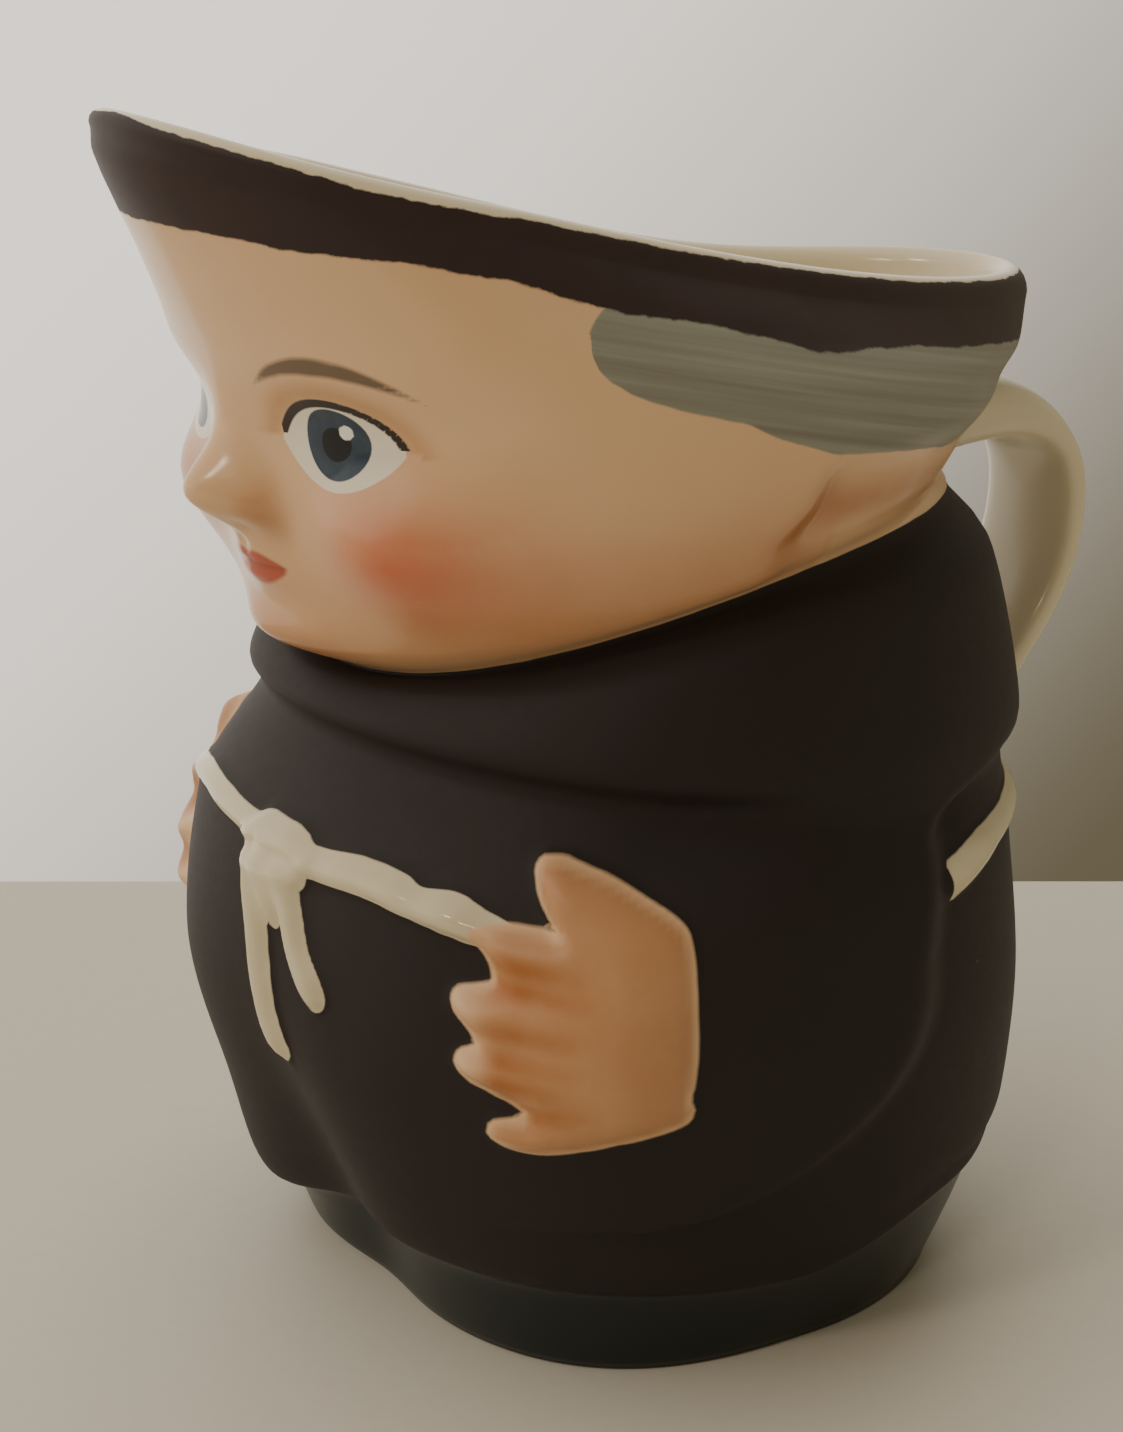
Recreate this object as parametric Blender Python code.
"""A monk-shaped ceramic creamer, modelled as one hollow casting.

The figure faces -Y, its left hand lies on the +X side, +Z is up, and the origin is
the middle of the underside.  Sizes are written in millimetres and placed in metres.
The cup is turned first as a plain wall of rows and columns, each row is then pressed
to the figure's outline at that height, and the hands, the cord and the handle are
joined to it as the potter joins them to the clay.
"""
import math

import bmesh
import bpy
from mathutils import Vector

MM = 0.001                     # one millimetre in metres
MERGE = 0.00001                # points closer than this are one point, in metres
SEAM_MERGE = 0.00002           # the same along the seams of the joined pieces, in metres

# The figure's outlines, from the foot to the rim.  Each line gives the radius and the
# height at the front, at the side and at the back, then how square the front half and
# the back half of the outline are (2 is an ellipse, more is squarer, less is pointed).
OUTLINES = (
    ("foot", (26.4, 0.9), (29.0, 0.9), (27.2, 0.9), 2.8, 2.0),
    ("band top", (29.0, 8.0), (31.0, 7.2), (29.4, 7.6), 2.5, 2.1),
    ("hem", (31.6, 9.4), (32.2, 8.2), (30.2, 8.6), 2.3, 2.1),
    ("skirt", (35.4, 17.0), (34.8, 16.9), (32.3, 15.6), 2.3, 2.1),
    ("belly", (38.6, 30.0), (36.7, 29.2), (32.0, 28.0), 2.3, 2.1),
    ("belt", (37.2, 42.0), (35.4, 40.6), (31.1, 40.0), 2.3, 2.1),
    ("groove", (31.8, 52.4), (32.1, 48.2), (31.0, 47.0), 2.1, 2.2),
    ("hood roll", (33.0, 55.0), (33.8, 51.8), (32.2, 51.0), 2.0, 2.2),
    ("hood top", (31.0, 57.4), (30.6, 63.0), (29.4, 65.0), 2.0, 2.2),
    ("crease", (29.0, 57.8), (26.0, 67.0), (26.4, 69.2), 2.1, 2.2),
    ("jaw", (32.4, 60.2), (29.0, 69.2), (26.4, 71.4), 2.1, 2.0),
    ("cheek", (35.8, 70.0), (31.0, 75.6), (29.2, 75.0), 2.2, 2.0),
    ("temple", (39.4, 85.0), (29.4, 82.2), (33.4, 77.4), 2.1, 1.9),
    ("hat edge", (45.0, 96.1), (26.2, 85.7), (37.8, 78.9), 2.0, 1.85),
    ("rim", (47.6, 102.6), (22.8, 88.8), (40.4, 82.9), 2.2, 1.8),
)
LEVEL = {line[0]: number for number, line in enumerate(OUTLINES)}
ROWS_UP_FROM = {
    "foot": 2, "band top": 1, "hem": 2, "skirt": 2, "belly": 2, "belt": 3,
    "groove": 2, "hood roll": 3, "hood top": 1, "crease": 2, "jaw": 6,
    "cheek": 8, "temple": 4, "hat edge": 3,
}
COLUMNS = 56                   # columns round the cup
FRONT_CROWDING = 0.40          # how much closer the columns stand on the face

# The wall
WALL = 3.2                     # thickness of the casting
ROLL_WALL = 4.4                # the hood roll is a little thicker
LIP_RISE = 2.0                 # the rounded lip stands this far over the rim's edge
LIP_THICKNESS = 3.4            # the lip is a little thicker than the wall under it
LIP_STEPS = 5                  # steps over the rounded lip
FOOT_ROUNDING = 1.0            # rounded edge between the underside and the base band
FLOOR_HEIGHT = 5.0             # inside floor over the table
FLOOR_CORNERS = ((25.0, 10.0), (21.0, 6.2))   # inside radius and height, down to the floor
INNER_LEVELS = ("rim", "hat edge", "temple", "cheek", "crease", "hood roll", "groove",
                "belt", "belly", "skirt")

# The fold of the robe under the knot
FOLD_DEPTH = 2.6
FOLD_HALF_WIDTH = 7.0
FOLD_DEEPEST = 13.0
FOLD_FADE_BELOW = 19.0
FOLD_FADE_ABOVE = 14.0

# The raised arms inside the sleeves; angles are degrees from the front
SLEEVE_RAISE = 1.5
SLEEVE_MIDDLE = (55.0, 36.0)   # angle and height
SLEEVE_HALF_SIZE = (47.0, 20.0)
SLEEVE_LEAN = 0.5              # degrees that its back edge moves per millimetre upwards
SLEEVE_STEP = 5.0              # degrees over which the edge drops
SLEEVE_FRONT = (34.0, 66.0)    # it grows out of the chest between these angles
SLEEVE_FRONT_LEAN = 2.0        # degrees that they move back per millimetre upwards
SHOULDER_HEIGHT = 45.0         # the back edge runs out to the shoulder above this height
SHOULDER_SPREAD = 0.8          # degrees per square millimetre of that height

# The recess at the nape, behind the jaw
NAPE_DEPTH = 1.3
NAPE_EDGE = 86.0               # degrees from the front
NAPE_TOP = 76.5
NAPE_END = (150.0, 168.0)      # it fades out towards the handle between these angles

# The face, by the usual thirds: hairline, brow, base of the nose, chin
HAIRLINE = 93.5
CHIN = 59.5
THIRD = (HAIRLINE - CHIN) / 3
BROW = HAIRLINE - THIRD
NOSE_BASE = BROW - THIRD
MOUTH = NOSE_BASE - THIRD / 3
EYE_LINE = (BROW + NOSE_BASE) / 2 + 2.0
EYE_WIDTH = 11.0
EYE_SIDE = EYE_WIDTH * 1.05    # middle of an eye from the middle of the face
# Each swelling: side offset, height, half width, half height, rise
FACE_SWELLINGS = (
    (0.0, EYE_LINE - 3.0, 2.8, 5.4, 1.7),          # bridge of the nose
    (0.0, NOSE_BASE + 2.4, 3.9, 3.2, 4.2),         # tip of the nose
    (EYE_SIDE, EYE_LINE + 0.5, 6.2, 4.2, -1.9),    # eye sockets
    (EYE_SIDE, EYE_LINE, 3.8, 3.0, 1.1),           # eyeballs under their lids
    (EYE_SIDE + 1.0, BROW + 1.5, 8.0, 3.0, 0.8),   # brow bones
    (16.5, NOSE_BASE - 0.5, 7.0, 5.8, 3.0),        # cheeks
    (0.0, MOUTH, 5.2, 2.4, 1.7),                   # lips
    (0.0, MOUTH - 3.6, 5.2, 1.6, -0.9),            # hollow under the lip
    (0.0, CHIN + 2.2, 7.0, 3.0, 2.8),              # chin
    (0.0, HAIRLINE - 5.5, 15.0, 7.0, 1.2),         # forehead
)

# Hands: each finger runs from the wrist to its tip; angle, height, lift of the middle line
WRIST = 65.0
FINGERS = (
    ((WRIST, 38.0, -2.4), (52.0, 40.0, -0.6), (40.2, 41.2, -0.2)),
    ((WRIST, 34.8, -2.4), (52.0, 35.7, -0.4), (39.5, 35.7, 0.0)),
    ((WRIST, 31.2, -2.4), (52.0, 31.0, -0.4), (39.8, 30.7, 0.0)),
    ((WRIST, 28.2, -2.4), (54.0, 26.6, -0.6), (44.0, 25.4, -0.2)),
)
FINGER_RADIUS = 3.0
FINGERTIP_RADIUS = 2.3
THUMB = ((WRIST - 2.0, 38.5, -1.2), (56.0, 42.6, -0.2), (49.5, 44.8, 0.0))
THUMB_RADIUS = 2.8
PALM = (57.0, 33.4, -0.9)
PALM_HALF_SIZE = (8.2, 10.4, 3.7)  # round the body, up, outwards

# The rope belt, its knot and its two tails
CORD_RADIUS = 1.7
FRONT_CORD = ((3.0, 43.4, 0.0), (14.0, 43.0, 0.0), (27.0, 43.0, 0.0), (40.5, 41.8, 0.0))
BACK_CORD_RADIUS = 1.5
BACK_CORD = ((102.0, 41.2, 0.1), (118.0, 42.8, 0.1), (141.0, 43.2, 0.1), (170.0, 42.2, 0.1))
KNOT = (3.0, 43.0, 0.4)
KNOT_HALF_SIZE = (4.4, 3.1, 2.4)
TAILS = (
    ((1.2, 41.5, 0.4), (2.6, 35.0, 0.0), (7.2, 26.3, 0.0)),
    ((4.6, 41.5, 0.4), (9.4, 37.0, 0.0), (16.2, 33.2, 0.0)),
)
TAIL_RADIUS = 1.6

# The handle, a flat strap in the plane of symmetry: distance behind the axis, height
HANDLE_ROUTE = ((24.9, 71.4), (39.7, 73.9), (46.2, 69.8), (46.2, 62.3),
                (46.2, 54.6), (41.2, 47.4), (29.4, 40.6))
HANDLE_WIDTH = 12.2
HANDLE_THICKNESS = 3.7
ROOT_EXTRA_WIDTH = 3.0         # each root spreads wider than the strap
UPPER_ROOT_EXTRA_THICKNESS = 4.3
LOWER_ROOT_EXTRA_THICKNESS = 1.7
UPPER_ROOT_LENGTH = 0.75       # share of each half of the route over which it spreads
LOWER_ROOT_LENGTH = 0.45
UPPER_ROOT_LEAN = 0.3          # the upper root is cut to the slope of the head
HANDLE_STEPS = 8               # rings in each half of the route
HANDLE_SIDES = 14
STRAP_SQUARENESS = 0.7         # power that squares the strap's oval section; 1 is an oval

ROUND_SIDES = 8                # sides of a finger or a piece of cord
CAP_STEPS = 2                  # rings in a rounded end

CERAMIC_COLOUR = (0.80, 0.72, 0.58, 1.0)
CERAMIC_ROUGHNESS = 0.25


def between(values, level):
    """A value at a level between the listed ones, never past its neighbours."""
    last = len(values) - 1
    lower = min(int(level), last - 1)
    part = level - lower
    steps = [values[i + 1] - values[i] for i in range(last)]

    def slope(i):
        if i in (0, last):
            return steps[min(i, last - 1)]
        before, after = steps[i - 1], steps[i]
        if before * after <= 0:
            return 0.0
        return 2 * before * after / (before + after)

    rise = values[lower + 1] - values[lower]
    bend_in = part * (1 - part) ** 2 * slope(lower)
    bend_out = part ** 2 * (part - 1) * slope(lower + 1)
    return values[lower] + rise * part ** 2 * (3 - 2 * part) + bend_in + bend_out


def outline_sizes(level):
    """Front, side and back (radius, height) and the two squarenesses at a level."""
    pairs = []
    for place in (1, 2, 3):
        radius = between([line[place][0] for line in OUTLINES], level)
        height = between([line[place][1] for line in OUTLINES], level)
        pairs.append((radius, height))
    front_square = between([line[4] for line in OUTLINES], level)
    back_square = between([line[5] for line in OUTLINES], level)
    return pairs, front_square, back_square


def outline_point(level, angle, inset=0.0):
    """A point of the bare outline; angle 0 is the front and grows towards +X."""
    (front, side, back), front_square, back_square = outline_sizes(level)
    ahead = math.cos(angle)
    sideways = math.sin(angle)
    deep = front if ahead > 0 else back
    square = front_square if ahead > 0 else back_square
    spread = (abs(ahead) / (deep[0] - inset)) ** square
    spread += (abs(sideways) / (side[0] - inset)) ** square
    radius = spread ** (-1 / square)
    # The height follows a parabola through the back, the side and the front.
    forward = radius * ahead
    front_slope = (front[1] - side[1]) / front[0]
    back_slope = (side[1] - back[1]) / back[0]
    bend = (front_slope - back_slope) / (front[0] + back[0])
    slope = back_slope + bend * back[0]
    height = side[1] + slope * forward + bend * forward ** 2
    return Vector((radius * sideways, -forward, height))


def soft_step(start, end, value):
    part = min(max((value - start) / (end - start), 0.0), 1.0)
    return part * part * (3 - 2 * part)


def hump(offset, half_width):
    return math.exp(-(offset / half_width) ** 2)


def fold_relief(point):
    """The fold of the robe that runs down from the knot to the foot."""
    if point.y > 0:
        return 0.0
    fade = FOLD_FADE_BELOW if point.z < FOLD_DEEPEST else FOLD_FADE_ABOVE
    depth = FOLD_DEPTH * hump(point.z - FOLD_DEEPEST, fade)
    return -depth * hump(point.x, FOLD_HALF_WIDTH)


def sleeve_relief(level, angle, point):
    """The arm raised under the robe, with its edge curving down behind the hand."""
    if not LEVEL["hem"] < level < LEVEL["hood roll"]:
        return 0.0
    turn = abs(math.degrees(angle))
    up = (point.z - SLEEVE_MIDDLE[1]) / SLEEVE_HALF_SIZE[1]
    if up < -1:
        return 0.0
    reach = SLEEVE_HALF_SIZE[0]
    if up < 0:
        reach *= math.sqrt(1 - up * up)
    else:
        reach += SLEEVE_LEAN * (point.z - SLEEVE_MIDDLE[1])
        reach += SHOULDER_SPREAD * max(point.z - SHOULDER_HEIGHT, 0) ** 2
    inside = SLEEVE_MIDDLE[0] + reach - turn
    lean = SLEEVE_FRONT_LEAN * max(point.z - SLEEVE_MIDDLE[1], 0)
    raised = soft_step(0.0, SLEEVE_STEP, inside) * soft_step(*SLEEVE_FRONT, turn - lean)
    return SLEEVE_RAISE * raised * (1 - soft_step(LEVEL["groove"], LEVEL["hood roll"], level))


def face_relief(level, point):
    """The gentle swellings and hollows of the face."""
    if level <= LEVEL["crease"] or point.y > 0:
        return 0.0
    total = 0.0
    for side, height, half_width, half_height, rise in FACE_SWELLINGS:
        total += rise * hump(abs(point.x) - side, half_width) * hump(point.z - height, half_height)
    return total * soft_step(0, 1, level - LEVEL["crease"])


def nape_relief(level, angle, point):
    """The shallow recess behind the jaw, under the hair."""
    if not LEVEL["crease"] < level < LEVEL["temple"]:
        return 0.0
    turn = abs(math.degrees(angle))
    behind = soft_step(NAPE_EDGE - 4, NAPE_EDGE + 4, turn) * (1 - soft_step(*NAPE_END, turn))
    under = 1 - soft_step(NAPE_TOP - 2, NAPE_TOP + 2, point.z)
    return -NAPE_DEPTH * behind * under * soft_step(0, 1, level - LEVEL["crease"])


def outer_point(level, angle):
    """A point of the finished outside, before the hands, cord and handle go on."""
    point = outline_point(level, angle)
    relief = fold_relief(point)
    relief += sleeve_relief(level, angle, point)
    relief += face_relief(level, point)
    relief += nape_relief(level, angle, point)
    outwards = Vector((point.x, point.y, 0)).normalized()
    return point + outwards * relief


def inner_point(level, angle, inset):
    point = outline_point(level, angle, inset)
    outwards = Vector((point.x, point.y, 0)).normalized()
    return point + outwards * fold_relief(point)


def ring_point(radius, height, angle):
    """A point of the floor inside, scaled from the foot's outline."""
    foot = outline_point(0, angle)
    scale = radius / OUTLINES[0][2][0]
    return Vector((foot.x * scale, foot.y * scale, height))


def wall_rows():
    """One function per row, from the middle of the underside round to the floor inside."""
    def underside(scale):
        return lambda angle: Vector((*(outer_point(0, angle).xy * scale), 0.0))

    def outside(level):
        return lambda angle: outer_point(level, angle)

    def inside(level, inset, rise=0.0):
        return lambda angle: inner_point(level, angle, inset) + Vector((0, 0, rise))

    def floor(radius, height):
        return lambda angle: ring_point(radius, height, angle)

    rows = [underside(0.0), underside(1 - FOOT_ROUNDING / OUTLINES[0][2][0])]
    for name, steps in ROWS_UP_FROM.items():
        rows += [outside(LEVEL[name] + step / steps) for step in range(steps)]
    top = LEVEL["rim"]
    rows.append(outside(top))
    for step in range(1, LIP_STEPS):
        bow = math.pi * step / LIP_STEPS
        inset = LIP_THICKNESS * (1 - math.cos(bow)) / 2
        rows.append(inside(top, inset, LIP_RISE * math.sin(bow)))
    for name in INNER_LEVELS:
        inset = ROLL_WALL if name == "hood roll" else WALL
        if name == "rim":
            inset = LIP_THICKNESS
        rows.append(inside(LEVEL[name], inset))
    rows += [floor(radius, height) for radius, height in FLOOR_CORNERS]
    rows.append(floor(0.0, FLOOR_HEIGHT))
    return rows


def wrapped_skin(name, columns, rows, place):
    """A closed body: a flat grid rolled round, its seam and its two ends merged."""
    shape = bmesh.new()
    bmesh.ops.create_grid(shape, x_segments=columns, y_segments=rows, size=1.0)
    for corner in shape.verts:
        column = round((corner.co.x + 1) / 2 * columns)
        row = round((corner.co.y + 1) / 2 * rows)
        corner.co = place(column / columns, row) * MM
    bmesh.ops.remove_doubles(shape, verts=shape.verts, dist=MERGE)
    bmesh.ops.recalc_face_normals(shape, faces=shape.faces)
    # Triangles are always flat, so the pieces meet along clean seams.
    bmesh.ops.triangulate(shape, faces=shape.faces)
    mesh = bpy.data.meshes.new(name)
    shape.to_mesh(mesh)
    shape.free()
    mesh.shade_smooth()
    thing = bpy.data.objects.new(name, mesh)
    bpy.context.scene.collection.objects.link(thing)
    return thing


def make_cup():
    rows = wall_rows()

    def place(round_share, row):
        turn = 2 * math.pi * (round_share - 0.5)
        angle = turn - FRONT_CROWDING * math.sin(turn)
        return rows[row](angle)

    return wrapped_skin("creamer", COLUMNS, len(rows) - 1, place)


def on_body(turn, height, lift, side=1):
    """The point of the robe at an angle in degrees and a height, and the way outwards."""
    angle = math.radians(turn) * side
    low, high = float(LEVEL["hem"]), float(LEVEL["groove"])
    for _ in range(24):
        middle = (low + high) / 2
        if outer_point(middle, angle).z < height:
            low = middle
        else:
            high = middle
    point = outer_point(low, angle)
    ahead = outer_point(low, angle + 0.02) - point
    above = outer_point(low + 0.05, angle) - point
    outwards = ahead.cross(above).normalized()
    if outwards.dot(Vector((point.x, point.y, 0))) < 0:
        outwards.negate()
    return point + outwards * lift, outwards


def smooth_route(points, steps):
    """Points along a smooth line through the given ones."""
    last = len(points) - 1
    route = []
    for number in range(last * steps + 1):
        level = number / steps
        route.append([between([point[axis] for point in points], level) for axis in range(3)])
    return route


def make_bead(name, points, start_radius, end_radius, side=1, steps=3):
    """A rounded roll of clay laid along the robe, with round ends."""
    laid = [on_body(*point, side) for point in smooth_route(points, steps)]
    rings = []
    for number, (middle, outwards) in enumerate(laid):
        before = laid[max(number - 1, 0)][0]
        after = laid[min(number + 1, len(laid) - 1)][0]
        along = (after - before).normalized()
        radius = start_radius + (end_radius - start_radius) * number / (len(laid) - 1)
        rings.append((middle, along, outwards, radius))
    for end, sign in ((0, -1), (-1, 1)):
        middle, along, outwards, radius = rings[end]
        caps = []
        for step in range(1, CAP_STEPS + 1):
            turn = math.pi / 2 * step / CAP_STEPS
            shift = along * (sign * radius * math.sin(turn))
            caps.append((middle + shift, along, outwards, radius * math.cos(turn)))
        rings = rings + caps if sign > 0 else caps[::-1] + rings

    def place(round_share, row):
        middle, along, outwards, radius = rings[row]
        across = along.cross(outwards).normalized()
        turn = 2 * math.pi * round_share
        reach = across * math.cos(turn) + outwards * math.sin(turn)
        return middle + reach * radius

    return wrapped_skin(name, ROUND_SIDES, len(rings) - 1, place)


def make_lump(name, where, half_size, side=1):
    """A rounded lump on the robe: half sizes round the body, up and outwards."""
    middle, outwards = on_body(*where, side)
    sideways = Vector((0, 0, 1)).cross(outwards).normalized()
    upwards = outwards.cross(sideways)
    rows = 6

    def place(round_share, row):
        turn = 2 * math.pi * round_share
        tilt = math.pi * row / rows
        ring = math.sin(tilt)
        return (middle
                + sideways * (half_size[0] * ring * math.cos(turn))
                + outwards * (half_size[2] * ring * math.sin(turn))
                - upwards * (half_size[1] * math.cos(tilt)))

    return wrapped_skin(name, ROUND_SIDES + 2, rows, place)


def route_point(share):
    """A point on the handle's middle line, made of two arcs that meet at the back."""
    half = HANDLE_ROUTE[:4] if share <= 1 else HANDLE_ROUTE[3:]
    part = share if share <= 1 else share - 1
    weights = ((1 - part) ** 3, 3 * part * (1 - part) ** 2, 3 * part ** 2 * (1 - part), part ** 3)
    back = sum(weight * point[0] for weight, point in zip(weights, half))
    up = sum(weight * point[1] for weight, point in zip(weights, half))
    return Vector((0, back, up))


def handle_ring(share):
    """Middle, way outwards, half width, half thickness and lean of one ring."""
    middle = route_point(share)
    before = route_point(max(share - 0.01, 0))
    after = route_point(min(share + 0.01, 2))
    outwards = (after - before).normalized().cross(Vector((1, 0, 0)))
    upper_root = soft_step(UPPER_ROOT_LENGTH, 0.0, share)
    lower_root = soft_step(2 - LOWER_ROOT_LENGTH, 2.0, share)
    width = HANDLE_WIDTH + ROOT_EXTRA_WIDTH * (upper_root + lower_root)
    thickness = HANDLE_THICKNESS + UPPER_ROOT_EXTRA_THICKNESS * upper_root
    thickness += LOWER_ROOT_EXTRA_THICKNESS * lower_root
    return middle, outwards, width / 2, thickness / 2, UPPER_ROOT_LEAN * upper_root


def make_handle():
    total = 2 * HANDLE_STEPS

    def place(round_share, row):
        share = 2 * min(max(row - 1, 0), total) / total
        middle, outwards, half_width, half_thickness, lean = handle_ring(share)
        if row in (0, total + 2):
            return middle
        turn = 2 * math.pi * (round_share + 0.5 / HANDLE_SIDES)
        across = math.copysign(abs(math.cos(turn)) ** STRAP_SQUARENESS, math.cos(turn))
        out = math.copysign(abs(math.sin(turn)) ** STRAP_SQUARENESS, math.sin(turn))
        reach = Vector((1, 0, 0)) * (across * half_width) + outwards * (out * half_thickness)
        return middle + reach + Vector((0, reach.z * lean, 0))

    return wrapped_skin("handle strap", HANDLE_SIDES, total + 2, place)


def join(cup, piece):
    """Add one closed piece to the cup; the piece itself stays as a hidden tool."""
    union = cup.modifiers.new(piece.name, "BOOLEAN")
    union.operation = "UNION"
    union.solver = "EXACT"
    union.object = piece
    piece.hide_render = True
    piece.display_type = "WIRE"


def clean_seams(cup):
    """Merge the hair-thin slivers that the joins can leave."""
    weld = cup.modifiers.new("clean seams", "WELD")
    weld.merge_threshold = SEAM_MERGE


def ceramic():
    material = bpy.data.materials.new("glazed earthenware")
    material.use_nodes = True
    shader = material.node_tree.nodes["Principled BSDF"]
    shader.inputs["Base Color"].default_value = CERAMIC_COLOUR
    shader.inputs["Roughness"].default_value = CERAMIC_ROUGHNESS
    return material


def main():
    for thing in list(bpy.data.objects):
        bpy.data.objects.remove(thing, do_unlink=True)
    cup = make_cup()
    pieces = [make_handle()]
    for side, hand in ((1, "left"), (-1, "right")):
        pieces.append(make_lump(hand + " palm", PALM, PALM_HALF_SIZE, side))
        for number, finger in enumerate(FINGERS, 1):
            name = f"{hand} finger {number}"
            pieces.append(make_bead(name, finger, FINGER_RADIUS, FINGERTIP_RADIUS, side, 2))
        pieces.append(make_bead(hand + " thumb", THUMB, THUMB_RADIUS, THUMB_RADIUS, side, 2))
        pieces.append(make_bead(hand + " front cord", FRONT_CORD, CORD_RADIUS, CORD_RADIUS, side))
        pieces.append(make_bead(hand + " back cord", BACK_CORD, BACK_CORD_RADIUS,
                                BACK_CORD_RADIUS, side))
    pieces.append(make_lump("knot", KNOT, KNOT_HALF_SIZE))
    for number, tail in enumerate(TAILS, 1):
        pieces.append(make_bead(f"cord tail {number}", tail, TAIL_RADIUS, TAIL_RADIUS))
    for piece in pieces:
        join(cup, piece)
    clean_seams(cup)
    cup.data.materials.append(ceramic())


main()
